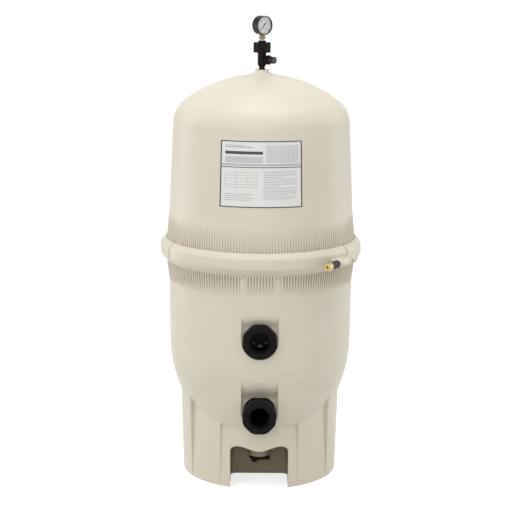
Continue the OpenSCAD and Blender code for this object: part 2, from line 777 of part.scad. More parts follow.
module lid_label() {
    half = label_w / 2 / lid_wall_r(label_z + label_h / 2) * 180 / PI;
    color("whitesmoke") turned_sector(-half, half)
        polygon([[lid_wall_r(label_z), label_z], [lid_wall_r(label_z) + label_t, label_z],
            [lid_wall_r(label_z + label_h) + label_t, label_z + label_h],
            [lid_wall_r(label_z + label_h), label_z + label_h]]);
}

// The valve and the gauge
module valve_o_ring() {
    color("black") translate([0, 0, neck_z + seal_gap]) difference() {
        cylinder(r = 10, h = 2 - 2 * seal_gap, $fn = 48);
        translate([0, 0, -1]) cylinder(r = neck_bore_r, h = 9, $fn = 48);
    }
}

module relief_frame() {
    translate([0, 0, relief_z]) rotate([0, 0, relief_az]) rotate([90, 0, 0]) children();
}

module valve_body() {
    foot_z = neck_z + 9;
    color("black") difference() {
        union() {
            translate([0, 0, neck_z - 12]) cylinder(r = neck_bore_r - 0.1, h = 16, $fn = 48);
            translate([0, 0, neck_z + 2]) cylinder(r = 8, h = 8, $fn = 48);
            translate([0, 0, foot_z]) cylinder(r1 = 9, r2 = valve_r, h = 4, $fn = 64);
            translate([0, 0, foot_z + 4]) cylinder(r = valve_r, h = valve_top_z - foot_z - 4, $fn = 64);
            translate([0, 0, relief_z - 6]) cylinder(r = valve_r + 0.7, h = 2, $fn = 64);
            relief_frame() cylinder(r = 9, h = 20, $fn = 48);
        }
        translate([0, 0, neck_z - 20]) cylinder(r = 4, h = valve_top_z - neck_z + 40, $fn = 32);
        relief_frame() cylinder(r = 5.08, h = 40, $fn = 32);
    }
}

module valve_nut() {
    color("black") difference() {
        translate([0, 0, valve_top_z]) rotate([0, 0, 22.5]) cylinder(r = valve_nut_r, h = valve_nut_h, $fn = 8);
        translate([0, 0, valve_top_z - 1]) cylinder(r = 6, h = valve_nut_h + 2, $fn = 32);
    }
}

module gauge_adapter() {
    color("black") translate([0, 0, adapter_z]) difference() {
        union() {
            cylinder(r = 10.5, h = 5, $fn = 48);
            translate([0, 0, -10]) cylinder(r = 5.9, h = 11, $fn = 32);
        }
        translate([0, 0, -20]) cylinder(r = 3, h = 40, $fn = 32);
    }
}

module thread_tape() {
    color("white") translate([0, 0, adapter_z + 5]) difference() {
        cylinder(r = 6, h = 4, $fn = 32);
        translate([0, 0, -1]) cylinder(r = 4.5, h = 9, $fn = 32);
    }
}

module gauge_socket() {
    hex_z = adapter_z + 9;
    color("goldenrod") {
        translate([0, 0, adapter_z + 5]) cylinder(r = 4.4, h = 5, $fn = 32);
        translate([0, 0, hex_z]) rotate([0, 0, gauge_az]) cylinder(r = 9.3, h = 10, $fn = 6);
        translate([0, 0, hex_z + 9]) cylinder(r = 6, h = gauge_z - gauge_r - hex_z - 5, $fn = 32);
    }
}

module gauge_frame() {
    translate([0, 0, gauge_z]) rotate([0, 0, gauge_az]) rotate([90, 0, 0])
        translate([0, 0, gauge_depth / 2]) children();
}

module gauge_case() {
    color("black") difference() {
        gauge_frame() difference() {
            translate([0, 0, -gauge_depth]) cylinder(r = gauge_r, h = gauge_depth, $fn = 96);
            translate([0, 0, -gauge_depth + 2]) cylinder(r = gauge_r - 1.2, h = gauge_depth, $fn = 96);
        }
        translate([0, 0, adapter_z]) cylinder(r = 6.1, h = gauge_z - adapter_z, $fn = 32);
    }
}

module gauge_dial() {
    color("white") gauge_frame() difference() {
        translate([0, 0, -5]) cylinder(r = gauge_r - 1.3, h = 1, $fn = 96);
        translate([0, 0, -9]) cylinder(r = pivot_r + 0.6, h = 9, $fn = 24);
    }
}

module gauge_bezel() {
    color("black") gauge_frame() difference() {
        cylinder(r = gauge_r, h = 1.4, $fn = 96);
        translate([0, 0, -1]) cylinder(r = gauge_r - 1.8, h = 4, $fn = 96);
    }
}

module gauge_lens() {
    color("lightcyan", 0.4) gauge_frame() translate([0, 0, -1.2]) cylinder(r = gauge_r - 1.3, h = 1.2, $fn = 96);
}

module gauge_pointer() {
    color("black") gauge_frame() translate([0, 0, -3.6]) {
        rotate([0, 0, pointer_rest]) linear_extrude(0.8)
            polygon([[-9, -1.4], [-9, 1.4], [-2, 1.2], [18, 0.3], [18, -0.3], [-2, -1.2]]);
        translate([0, 0, -3]) cylinder(r = pivot_r, h = 4.4, $fn = 24);
    }
}

module relief_stem() {
    color("black") relief_frame() {
        translate([0, 0, 8]) cylinder(r = 5, h = 16, $fn = 32);
        translate([0, 0, 20.4]) cylinder(r = 13, h = 5, $fn = 48);
    }
}

module relief_knob() {
    color("saddlebrown") relief_frame() difference() {
        translate([0, 0, 25.4]) cylinder(r = 9.5, h = relief_reach - 25.4, $fn = 48);
        for (i = [0:11]) rotate([0, 0, i * 30]) translate([10, 0, 24]) cylinder(r = 1.3, h = 15, $fn = 16);
    }
}

// The clamp
module clamp_section() {
    upper = [[band_r, 12], [band_r - 1.5, 14.5], [lip_r + 5, lip_half - 3], [lip_r + 2.5, lip_half],
        [lip_r, lip_half], [lip_r, groove_half(lip_r)], [groove_r, groove_half(groove_r)]];
    last = len(upper) - 1;
    polygon(concat(upper, [for (i = [0:last]) [upper[last - i][0], -upper[last - i][1]]]));
}

module clamp_segment(middle_az) {
    half = (segment_angle - joint_open) / 2;
    translate([0, 0, parting_z]) turned_sector(middle_az - half, middle_az + half) clamp_section();
}

// Places children at the T-bolt, with +X along it away from the nut and -Y outwards
module bolt_frame() {
    rotate([0, 0, bolt_az]) translate([0, -bolt_reach, parting_z]) children();
}

module bolt_rod(r, from_t, to_t, sides = 32) {
    translate([from_t, 0, 0]) rotate([0, 90, 0]) cylinder(r = r, h = to_t - from_t, $fn = sides);
}

module lug(from_t, to_t, half_h) {
    difference() {
        bolt_frame() difference() {
            union() {
                bolt_rod(half_h * 0.62, from_t, to_t, 48);
                translate([from_t, 0, -half_h * 0.62]) cube([to_t - from_t, 40, half_h * 1.24]);
            }
            bolt_rod(bolt_r + 0.6, from_t - 5, to_t + 5);
        }
        cylinder(r = groove_r + band_t / 4, h = 2 * far, $fn = 180);
    }
}

module clamp_front() {
    color("wheat") {
        clamp_segment(bolt_az - segment_angle / 2);
        lug(-seat_t, -seat_t + 34, 22);
    }
}

module clamp_right() {
    color("wheat") {
        clamp_segment(bolt_az + segment_angle / 2);
        lug(head_t - 26, head_t, 22);
    }
}

module clamp_left() {
    color("wheat") clamp_segment(bolt_az + 1.5 * segment_angle);
}

module trunnion() {
    color("silver") bolt_frame() difference() {
        bolt_rod(11, -seat_t - 2, -seat_t, 48);
        bolt_rod(bolt_r + 0.4, -far, far);
    }
}

module t_bolt() {
    color("silver") bolt_frame() {
        bolt_rod(bolt_r, -bolt_len, head_t + 4);
        translate([head_t, -bolt_r, -head_len / 2]) cube([8, 2 * bolt_r, head_len]);
    }
}

module tension_spring() {
    coil_len = spring_len - 2;
    color("dimgray") bolt_frame() difference() {
        bolt_rod(spring_r + wire_r, -seat_t - 2 - coil_len, -seat_t - 2, 48);
        bolt_rod(spring_r - wire_r, -far, far, 48);
    }
}

module nut_washer() {
    color("silver") bolt_frame() difference() {
        bolt_rod(nut_r, -seat_t - spring_len - 2, -seat_t - spring_len, 48);
        bolt_rod(bolt_r + 0.3, -far, far);
    }
}

module tension_nut() {
    face_t = -seat_t - spring_len - 2;
    color("goldenrod") bolt_frame() difference() {
        union() {
            bolt_rod(nut_r, face_t - nut_len, face_t - nut_len + 5, 48);
            bolt_rod(nut_r - 2, face_t - nut_len, face_t, 6);
        }
        bolt_rod(bolt_r + 0.05, -far, far);
    }
}

tank_bottom();
tank_o_ring();
inlet_gasket();
inlet_bulkhead();
inlet_locknut();
inlet_tailpiece();
inlet_union_nut();
inlet_diffuser();
outlet_gasket();
outlet_bulkhead();
outlet_locknut();
outlet_tailpiece();
outlet_union_nut();
outlet_elbow();
outlet_pipe();
manifold();
grid_1();
grid_2();
grid_3();
grid_4();
grid_5();
grid_6();
grid_7();
partial_grid();
grid_spacer();
tie_rod();
retainer_washer();
wing_nut();
air_bleed_tube();
drain_gasket();
drain_plug();
tank_lid();
lid_label();
valve_o_ring();
valve_body();
valve_nut();
gauge_adapter();
thread_tape();
gauge_socket();
gauge_case();
gauge_dial();
gauge_bezel();
gauge_lens();
gauge_pointer();
relief_stem();
relief_knob();
clamp_front();
clamp_right();
clamp_left();
trunnion();
t_bolt();
tension_spring();
nut_washer();
tension_nut();
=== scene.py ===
import json
import math

import bpy
from mathutils import Matrix, Vector
from mathutils.bvhtree import BVHTree


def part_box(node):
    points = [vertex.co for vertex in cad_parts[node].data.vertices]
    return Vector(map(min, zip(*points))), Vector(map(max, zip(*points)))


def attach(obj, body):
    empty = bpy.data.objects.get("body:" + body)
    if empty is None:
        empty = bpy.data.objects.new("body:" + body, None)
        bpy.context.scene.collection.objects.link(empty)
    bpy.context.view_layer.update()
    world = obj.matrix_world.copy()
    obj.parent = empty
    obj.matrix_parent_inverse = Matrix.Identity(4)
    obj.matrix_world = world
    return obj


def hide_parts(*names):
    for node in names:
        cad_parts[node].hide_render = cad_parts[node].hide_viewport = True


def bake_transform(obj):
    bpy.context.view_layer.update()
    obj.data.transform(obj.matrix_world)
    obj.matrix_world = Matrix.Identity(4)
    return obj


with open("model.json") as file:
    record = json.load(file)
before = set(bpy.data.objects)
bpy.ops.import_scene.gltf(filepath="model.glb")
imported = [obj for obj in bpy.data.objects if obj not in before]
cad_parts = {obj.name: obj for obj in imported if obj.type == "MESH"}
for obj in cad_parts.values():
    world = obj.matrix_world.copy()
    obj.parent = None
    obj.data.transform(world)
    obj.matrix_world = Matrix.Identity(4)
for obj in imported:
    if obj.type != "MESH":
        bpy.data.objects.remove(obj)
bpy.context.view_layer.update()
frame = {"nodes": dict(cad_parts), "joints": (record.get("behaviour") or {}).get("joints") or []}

nodes = frame["nodes"]
joints = {joint["name"]: joint for joint in frame["joints"]}


# Camera
# The filter is seen square on from a little above, as a catalogue shows it.
# The lens is long, so the tank keeps its upright sides.
camera_back = 4.152
camera_height = 1.4546
camera_pitch = math.radians(11.6)
camera_roll = math.radians(0.42)

camera = bpy.data.objects.new("camera", bpy.data.cameras.new("camera"))
bpy.context.scene.collection.objects.link(camera)
camera.data.sensor_width = 36
camera.data.lens = 103.85
camera.data.shift_x = -0.001
camera.matrix_world = (
    Matrix.Translation((0, -camera_back, camera_height))
    @ Matrix.Rotation(math.pi / 2 - camera_pitch, 4, "X")
    @ Matrix.Rotation(camera_roll, 4, "Z")
)
bpy.context.scene.camera = camera
bpy.context.scene.view_settings.view_transform = "Standard"


# Tank and lid
# Two mouldings of glass-filled polypropylene in a warm stone colour, with a fine
# spark-eroded grain from the mould. The ribs round both flanges are part of them.
def linear(hex_colour):
    """An sRGB hex colour as the linear values that a shader takes"""
    parts = [int(hex_colour[i : i + 2], 16) / 255 for i in (1, 3, 5)]
    return [p / 12.92 if p <= 0.04045 else ((p + 0.055) / 1.055) ** 2.4 for p in parts] + [1]


def add(tree, kind, settings=None, links=None):
    """Adds a shader node, sets its sockets or properties and links its inputs"""
    made = tree.nodes.new("ShaderNode" + kind)
    for name, value in (settings or {}).items():
        if isinstance(name, int) or name in made.inputs:
            made.inputs[name].default_value = value
        else:
            setattr(made, name, value)
    for name, socket in (links or {}).items():
        tree.links.new(socket, made.inputs[name])
    return made


def new_material(name):
    """An empty node material with its output, and its tree"""
    material = bpy.data.materials.new(name)
    material.use_nodes = True
    material.node_tree.nodes.clear()
    return material, material.node_tree


def finish_material(tree, settings, links=None):
    """Gives a material its Principled shader and output"""
    shader = add(tree, "BsdfPrincipled", settings, links)
    add(tree, "OutputMaterial", links={"Surface": shader.outputs[0]})


def per_mm(size):
    """The texture scale at which a pattern repeats about every so many millimetres"""
    return 1000 / size


def soiled(tree, colour_socket, shade_tone, reach_mm, least, most):
    """Paints shade: mixes a colour towards a darker tone where a place is closed in, from most
    open to least open
    """
    near = add(tree, "AmbientOcclusion",
               {"only_local": True, "samples": 6, "Distance": reach_mm / 1000})
    amount = add(tree, "MapRange",
                 {"From Min": least, "From Max": most, "To Min": 1.0, "To Max": 0.0},
                 {"Value": near.outputs["AO"]})
    return add(tree, "Mix", {"data_type": "RGBA", 7: linear(shade_tone)},
               {0: amount.outputs[0], 6: colour_socket}).outputs[2]


def stained_recess(tree, colour_socket, darker_tone, half_width, front_y, back_y, top_z):
    """Paints shade: mixes a colour towards a darker tone between two planes and below a height,
    in the middle
    """
    place = add(tree, "SeparateXYZ", links={0: add(tree, "TexCoord").outputs["Object"]})
    side = add(tree, "Math", {"operation": "ABSOLUTE"}, {0: place.outputs["X"]})
    edges = ((half_width + 0.004, half_width, side.outputs[0]),
             (front_y, front_y + 0.03, place.outputs["Y"]),
             (back_y + 0.003, back_y, place.outputs["Y"]),
             (top_z, top_z - 0.02, place.outputs["Z"]))
    amount = None
    for shade_free, full, measure in edges:
        share = add(tree, "MapRange", {"From Min": shade_free, "From Max": full}, {"Value": measure})
        if amount:
            share = add(tree, "Math", {"operation": "MULTIPLY"},
                        {0: amount.outputs[0], 1: share.outputs[0]})
        amount = share
    return add(tree, "Mix", {"data_type": "RGBA", 7: linear(darker_tone)},
               {0: amount.outputs[0], 6: colour_socket}).outputs[2]


def moulded_plastic(name, colour, shade, roughness, grain_mm, grain_depth_mm,
                    specular=0.5, crevice_shades=(), recess=None):
    """Moulded thermoplastic: even colour, faint cloudiness, and the mould's fine grain"""
    material, tree = new_material(name)
    place = add(tree, "TexCoord").outputs["Object"]
    cloud = add(tree, "TexNoise", {"Scale": per_mm(160), "Detail": 3}, {"Vector": place})
    speck = add(tree, "TexNoise", {"Scale": per_mm(2.5), "Detail": 2}, {"Vector": place})
    blotch = add(tree, "Math", {"operation": "MULTIPLY_ADD", 1: 0.6, 2: 0.0},
                 {0: cloud.outputs["Fac"]})
    amount = add(tree, "Math", {"operation": "MULTIPLY_ADD", 1: 0.35},
                 {0: speck.outputs["Fac"], 2: blotch.outputs[0]})
    tint = add(tree, "Mix", {"data_type": "RGBA", 6: linear(colour), 7: linear(shade)},
               {0: amount.outputs[0]})
    shown = tint.outputs[2]
    # Painted shade: darker where the surface is closed in.
    for shade_tone, reach_mm, least, most in crevice_shades:
        shown = soiled(tree, shown, shade_tone, reach_mm, least, most)
    # Painted shade in one recess, placed by position.
    if recess:
        shown = stained_recess(tree, shown, *recess)
    rough = add(tree, "MapRange", {"To Min": roughness - 0.05, "To Max": roughness + 0.07},
                {"Value": speck.outputs["Fac"]})
    grain = add(tree, "TexNoise", {"Scale": per_mm(grain_mm), "Detail": 4, "Roughness": 0.6},
                {"Vector": place})
    bump = add(tree, "Bump", {"Strength": 0.6, "Distance": grain_depth_mm / 1000},
               {"Height": grain.outputs["Fac"]})
    finish_material(tree, {"Specular IOR Level": specular, "IOR": 1.49},
                    {"Base Color": shown, "Roughness": rough.outputs[0],
                     "Normal": bump.outputs[0]})
    return material


def dress(material, *names):
    """Gives CAD nodes a material"""
    for name in names:
        data = nodes[name].data
        data.materials.clear()
        data.materials.append(material)


# Glass-filled polypropylene: satin, with a soft sheen where it faces away.
# The grain is really about 0.3 mm; 1.6 mm is as fine as shows. Brown painted shade
# darkens the closed-in grooves between the ribs, and a darker painted shade lies deep
# in the drain recess. The groove shade's range starts below zero, so even a deep
# groove takes only part of it.
tank_plastic = moulded_plastic("glass_filled_polypropylene", "#DDD6C5", "#CCC4B0",
                               0.42, 1.6, 0.12,
                               crevice_shades=(("#86703F", 9, -2.5, 0.95),),
                               recess=("#857A62", 0.080, -0.205, -0.080, 0.125))
dress(tank_plastic, "tank_bottom", "tank_lid")


# Clamp
# Three moulded V-section segments of the same plastic, from a smoother mould,
# drawn together over the flanges by the bolt at the right.
clamp_plastic = moulded_plastic("acetal_clamp_moulding", "#DAD4C2", "#CBC4B0", 0.36, 2.4, 0.10)
dress(clamp_plastic, "clamp_front", "clamp_right", "clamp_left")

bolt_line = joints["nut_spin"]
bolt_along = Vector(bolt_line["axis"]).normalized()
bolt_point = Vector(bolt_line["pos_m"])
bolt_outward = Vector((bolt_point.x, bolt_point.y, 0)).normalized()
segment_points = [Vector(v.co) for v in nodes["clamp_left"].data.vertices]
band_r = max(math.hypot(p.x, p.y) for p in segment_points)
lip_r = min(math.hypot(p.x, p.y) for p in segment_points)
clamp_z = (max(p.z for p in segment_points) + min(p.z for p in segment_points)) / 2
lip_top = max(p.z for p in segment_points) - clamp_z


def link_mesh(name, verts, faces, material, body=None, matrix=None):
    """Makes a mesh piece, gives it its material and lets it ride on a body"""
    data = bpy.data.meshes.new(name)
    data.from_pydata([tuple(v) for v in verts], [], faces)
    data.materials.append(material)
    piece = bpy.data.objects.new(name, data)
    bpy.context.scene.collection.objects.link(piece)
    if matrix:
        piece.matrix_world = matrix
    if body:
        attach(piece, body)
    return piece


def smooth_to(piece, degrees):
    """Smooth shading that keeps edges sharper than an angle"""
    piece.data.shade_smooth()
    piece.data.set_sharp_from_angle(angle=math.radians(degrees))


def rounded_profile(corners, steps=5):
    """A closed outline whose corners, each (r, z, rounding), are blended by a curve"""
    outline = []
    for i, (x, y, rounding) in enumerate(corners):
        here = Vector((x, y))
        before = Vector(corners[i - 1][:2]) - here
        after = Vector(corners[(i + 1) % len(corners)][:2]) - here
        start = here + before.normalized() * min(rounding, before.length * 0.49)
        end = here + after.normalized() * min(rounding, after.length * 0.49)
        for k in range(steps + 1):
            t = k / steps
            outline.append(start * (1 - t) ** 2 + here * 2 * t * (1 - t) + end * t ** 2)
    return outline


def clamp_ring(outline, from_az, to_az, edge=0.0012):
    """Vertices and faces of a ring segment between two azimuths, its end edges eased"""
    middle = sum(outline, Vector((0, 0))) / len(outline)
    small = [p + (middle - p).normalized() * edge for p in outline]
    count = 90
    ease = math.degrees(edge / band_r)
    stations = [(from_az, small)]
    stations += [(from_az + ease + (to_az - from_az - 2 * ease) * i / count, outline)
                 for i in range(count + 1)]
    stations += [(to_az, small)]
    verts, faces = [], []
    for az, ring in stations:
        angle = math.radians(az)
        verts += [(p.x * math.sin(angle), -p.x * math.cos(angle), clamp_z + p.y) for p in ring]
    size = len(outline)
    for s in range(len(stations) - 1):
        for k in range(size):
            a, b = s * size + k, s * size + (k + 1) % size
            faces.append([a, b, b + size, a + size])
    faces.append(list(range(size))[::-1])
    faces.append(list(range((len(stations) - 1) * size, len(stations) * size)))
    return verts, faces


def lug_mesh(from_t, to_t, boss_r, bore_r, reach_in, edge=0.0012):
    """Vertices and faces of a bored boss along the bolt, webbed inwards to the band"""
    sides = 48
    up = Vector((0, 0, 1))
    verts, faces = [], []
    loops = [(from_t, bore_r, 0), (from_t, None, edge), (from_t + edge, None, 0),
             (to_t - edge, None, 0), (to_t, None, edge), (to_t, bore_r, 0)]
    for t, bore, inset in loops:
        for k in range(sides):
            angle = k * math.tau / sides
            c, z = math.cos(angle), math.sin(angle)
            if bore:
                r = bore
            elif c >= 0:
                r = boss_r - inset
            else:
                r = min((boss_r - inset) / max(abs(z), 1e-6), reach_in / -c)
            verts.append(bolt_point + bolt_along * t + bolt_outward * (r * c) + up * (r * z))
    for loop in range(len(loops)):
        nxt = (loop + 1) % len(loops)
        for k in range(sides):
            m = (k + 1) % sides
            faces.append([loop * sides + k, loop * sides + m, nxt * sides + m, nxt * sides + k])
    return verts, faces


# The section is taken from the flanges: a hollow V inside, and outside an upright
# band between a sloped shoulder above and a longer one below.
wedge_lean = math.tan(math.radians(54))
flange_edge_r = band_r - 0.007
rim_half = 0.0116
groove_r = band_r - 0.006


def wedge_z(r):
    """Half the groove's height at a radius"""
    return rim_half + (flange_edge_r - r) * wedge_lean


lower_lip_r = lip_r + 0.0016
clamp_outline = rounded_profile([
    (lip_r, lip_top, 0.001), (lip_r + 0.0045, lip_top, 0.003),
    (band_r - 0.0008, 0.020, 0.0045), (band_r, -0.009, 0.0045),
    (lip_r + 0.0030, -0.0254, 0.002), (lower_lip_r, -wedge_z(lower_lip_r), 0.0002),
    (groove_r, -wedge_z(groove_r), 0.001), (groove_r, wedge_z(groove_r), 0.001),
    (lip_r, wedge_z(lip_r), 0.0005)])
# Half of each segment's sweep in degrees, then where each lug starts and ends
# along the bolt, and the lug's radius, bore and reach inwards.
segment_half = 59.5
front_lug = (0.020, 0.0805)
right_lug = (-0.006, 0.012)
lug_r, lug_bore_r, lug_reach = 0.0108, 0.0052, 0.0225
segment_lugs = {"front": [front_lug], "right": [right_lug], "left": []}
for side, lugs in segment_lugs.items():
    slide = joints["%s_segment_out" % side]["axis"]
    middle_az = math.degrees(math.atan2(slide[0], -slide[1]))
    verts, faces = clamp_ring(clamp_outline, middle_az - segment_half,
                              middle_az + segment_half)
    for from_t, to_t in lugs:
        more, more_faces = lug_mesh(from_t, to_t, lug_r, lug_bore_r, lug_reach)
        faces += [[i + len(verts) for i in face] for face in more_faces]
        verts = verts + [tuple(v) for v in more]
    segment = link_mesh("clamp_segment_" + side, verts, faces, clamp_plastic, side + "_segment")
    smooth_to(segment, 50)
    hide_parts("clamp_" + side)


# Coves over the ports
# Part of the tank's moulding: above each port the wall rolls softly back to the
# flat pad, in the same plastic, with no edge at the top of the recess.
wall_tree = BVHTree.FromObject(nodes["tank_bottom"], bpy.context.evaluated_depsgraph_get())


def wall_radius(z, az=22):
    """Outer radius of the tank's wall at a height, measured clear of the ports"""
    out = Vector((math.sin(math.radians(az)), -math.cos(math.radians(az)), 0))
    return math.hypot(*wall_tree.ray_cast(out * 0.4 + Vector((0, 0, z)), -out)[0].xy)


def closed_sheet(points, columns, back):
    """Vertices and faces of a closed sheet from a grid of points, with its back set in"""
    size = len(points)
    verts = points + [p + back for p in points]
    rows = size // columns
    faces = []
    for r in range(rows - 1):
        for c in range(columns - 1):
            a = r * columns + c
            faces.append([a, a + 1, a + columns + 1, a + columns])
            faces.append([a + size + columns, a + size + columns + 1, a + size + 1, a + size])
    rim = ([(0, c) for c in range(columns)] + [(r, columns - 1) for r in range(1, rows)]
           + [(rows - 1, c) for c in range(columns - 2, -1, -1)]
           + [(r, 0) for r in range(rows - 2, 0, -1)])
    rim = [r * columns + c for r, c in rim]
    for i, a in enumerate(rim):
        b = rim[(i + 1) % len(rim)]
        faces.append([a, a + size, b + size, b])
    return verts, faces


cove_half = 0.0500
cove_columns, cove_rows = 49, 40
bore_clear = 0.034
cove_lift = 0.00008
for port, roll in (("inlet", 0.053), ("outlet", 0.080)):
    gasket_low, gasket_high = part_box(port + "_gasket")
    pad_y = gasket_high.y
    axis_z = (gasket_low.z + gasket_high.z) / 2
    foot_z = axis_z + bore_clear
    head_z = foot_z + roll
    points = []
    for r in range(cove_rows + 1):
        z = foot_z + (head_z + 0.004 - foot_z) * r / cove_rows
        wall_r = wall_radius(z) + cove_lift
        for c in range(cove_columns):
            x = cove_half * (2 * c / (cove_columns - 1) - 1)
            wall_y = -math.sqrt(wall_r ** 2 - x ** 2)
            share = max(0, min(1, (head_z - z) / roll)) ** 1.9
            inset = share * share * (3 - 2 * share)
            points.append(Vector((x, wall_y + max(0, pad_y - wall_y) * inset, z)))
    verts, faces = closed_sheet(points, cove_columns, Vector((0, 0.0012, 0)))
    cove = link_mesh(port + "_cove", verts, faces, tank_plastic, "tank")
    smooth_to(cove, 60)

# The front of the skirt runs on under the lower port and ends in a shallow curve
# over the drain recess.
apron_half, apron_head, apron_foot, apron_dip = 0.0705, 0.183, 0.1195, 0.013
apron_columns, apron_rows = 61, 30
dip_half = 0.060
lowest_measure_z = 0.126
points = []
for r in range(apron_rows + 1):
    for c in range(apron_columns):
        x = apron_half * (2 * c / (apron_columns - 1) - 1)
        foot = apron_foot - apron_dip * (
            0.5 + 0.5 * math.cos(math.pi * min(1, abs(x) / dip_half)))
        z = apron_head + (foot - apron_head) * r / apron_rows
        wall_r = wall_radius(max(z, lowest_measure_z)) + 0.0001
        points.append(Vector((x, -math.sqrt(wall_r ** 2 - x ** 2), z)))
verts, faces = closed_sheet(points, apron_columns, Vector((0, 0.0045, 0)))
faces = [face[::-1] for face in faces]
apron = link_mesh("skirt_apron", verts, faces, tank_plastic, "tank")
smooth_to(apron, 40)


# Neck foot
# The dome's moulding rises to its threaded neck in one soft sweep, with no corner.
def turned_piece(outline, sides=56):
    """Vertices and faces of a closed outline of (r, z) points turned about Z"""
    verts, faces = [], []
    for r, z in outline:
        verts += [(r * math.cos(k * math.tau / sides), r * math.sin(k * math.tau / sides), z)
                  for k in range(sides)]
    for loop in range(len(outline)):
        nxt = (loop + 1) % len(outline)
        for k in range(sides):
            m = (k + 1) % sides
            faces.append([loop * sides + k, loop * sides + m, nxt * sides + m, nxt * sides + k])
    return verts, faces


dome_tree = BVHTree.FromObject(nodes["tank_lid"], bpy.context.evaluated_depsgraph_get())


def dome_height(r):
    """Height of the lid's top at a radius, straight above"""
    return dome_tree.ray_cast(Vector((r, 0, 1.6)), Vector((0, 0, -1)))[0].z


neck_top = dome_height(0.0200)
neck_top_r = next(r / 10000 for r in range(200, 400)
                  if dome_height(r / 10000) < neck_top - 0.002)
sweep_r = 0.050
sweep_rings = 24
dome_fall = dome_height(sweep_r) - dome_height(sweep_r + 0.01)
outline, underside = [], []
for k in range(sweep_rings + 1):
    share = k / sweep_rings
    r = neck_top_r - 0.0004 + (sweep_r - neck_top_r) * share
    top = neck_top - 0.0016
    dome = dome_height(sweep_r) + (sweep_r - r) * dome_fall / 0.01
    outline.append((r, dome + 0.0001 + (top - dome) * (1 - share) ** 3.6))
    underside.append((r, dome - 0.0015))
verts, faces = turned_piece(outline + underside[::-1], 96)
neck_foot = link_mesh("neck_foot", verts, faces, tank_plastic, "lid")
smooth_to(neck_foot, 50)


# Ports, drain plug and valve
# Black ABS mouldings: smooth, satin, with a slight bloom from handling.
black_abs = moulded_plastic("black_abs", "#0A0908", "#12100F", 0.42, 1.2, 0.05, 0.10)
dress(black_abs, "inlet_bulkhead", "inlet_locknut", "inlet_tailpiece", "inlet_union_nut",
      "outlet_bulkhead", "outlet_locknut", "outlet_tailpiece", "outlet_union_nut",
      "drain_plug", "valve_body", "valve_nut", "gauge_adapter", "relief_stem")


# Seals
# Moulded nitrile rubber rings and gaskets: dull black with a dusty bloom.
seal_rubber = moulded_plastic("nitrile_rubber", "#131314", "#232322", 0.72, 1.0, 0.04, 0.3)
dress(seal_rubber, "tank_o_ring", "inlet_gasket", "outlet_gasket", "drain_gasket",
      "valve_o_ring")


# Inner plumbing
# Grey and white PVC mouldings and pipe that carry the clean water up from the grids.
grey_pvc = moulded_plastic("grey_pvc", "#6C7072", "#5A5E60", 0.45, 1.8, 0.06)
white_pvc = moulded_plastic("white_pvc", "#E4E4DE", "#D2D2CA", 0.38, 1.8, 0.05)
# Painted shade: the inlet diffuser and outlet elbow inside the ports take the black ABS, so that
# the port bores show dark.
dress(black_abs, "inlet_diffuser", "outlet_elbow")
dress(grey_pvc, "manifold", "grid_spacer")
dress(white_pvc, "outlet_pipe", "air_bleed_tube")


# Filter grids
# Polypropylene frames inside a sewn bag of woven filter cloth. Its threads are
# about 1.5 mm apart; they are drawn at 6 mm, as fine as shows from outside.
def woven_cloth(name, colour, shade, thread_mm):
    """Plain woven cloth: two crossing sets of threads that darken between them"""
    material, tree = new_material(name)
    place = add(tree, "TexCoord").outputs["Object"]
    warp, weft = [
        add(tree, "TexWave", {"wave_type": "BANDS", "bands_direction": direction,
                              "Scale": per_mm(thread_mm) * math.tau / 20,
                              "Distortion": 0.4}, {"Vector": place})
        for direction in ("Z", "DIAGONAL")]
    weave = add(tree, "Math", {"operation": "MULTIPLY"},
                {0: warp.outputs["Fac"], 1: weft.outputs["Fac"]})
    tint = add(tree, "Mix", {"data_type": "RGBA", 6: linear(shade), 7: linear(colour)},
               {0: weave.outputs[0]})
    bump = add(tree, "Bump", {"Strength": 0.5, "Distance": 0.0004}, {"Height": weave.outputs[0]})
    finish_material(tree, {"Roughness": 0.85, "Sheen Weight": 0.3},
                    {"Base Color": tint.outputs[2], "Normal": bump.outputs[0]})
    return material


filter_cloth = woven_cloth("woven_polypropylene_cloth", "#E9E8E1", "#D3D1C8", 6)
dress(filter_cloth, "partial_grid", *["grid_%d" % i for i in range(1, 8)])


# Stainless and brass hardware
# Turned and drawn bar: bright, with tool marks too fine to show one by one, and a
# slight stain.
def turned_metal(name, colour, darker_tone, roughness, line_mm):
    """Turned bar: bright metal with fine tool marks and faint staining"""
    material, tree = new_material(name)
    place = add(tree, "TexCoord").outputs["Object"]
    stained = add(tree, "TexNoise", {"Scale": per_mm(9), "Detail": 4}, {"Vector": place})
    tint = add(tree, "Mix", {"data_type": "RGBA", 6: linear(colour), 7: linear(darker_tone)},
               {0: stained.outputs["Fac"]})
    lines = add(tree, "TexNoise", {"Scale": per_mm(line_mm), "Detail": 2}, {"Vector": place})
    rough = add(tree, "MapRange", {"To Min": roughness - 0.08, "To Max": roughness + 0.12},
                {"Value": stained.outputs["Fac"]})
    bump = add(tree, "Bump", {"Strength": 0.4, "Distance": 0.00004},
               {"Height": lines.outputs["Fac"]})
    finish_material(tree, {"Metallic": 1},
                    {"Base Color": tint.outputs[2], "Roughness": rough.outputs[0],
                     "Normal": bump.outputs[0]})
    return material


stainless = turned_metal("drawn_stainless_bar", "#C9C6C0", "#A7A39B", 0.3, 0.8)
brass = turned_metal("turned_brass", "#CDB98A", "#A38D5E", 0.32, 0.8)
dress(stainless, "tie_rod", "retainer_washer", "wing_nut", "trunnion", "t_bolt", "nut_washer")
aged_brass = turned_metal("aged_brass", "#9A8562", "#6F5D40", 0.4, 0.8)
dress(aged_brass, "gauge_socket")
dress(brass, "tension_nut")


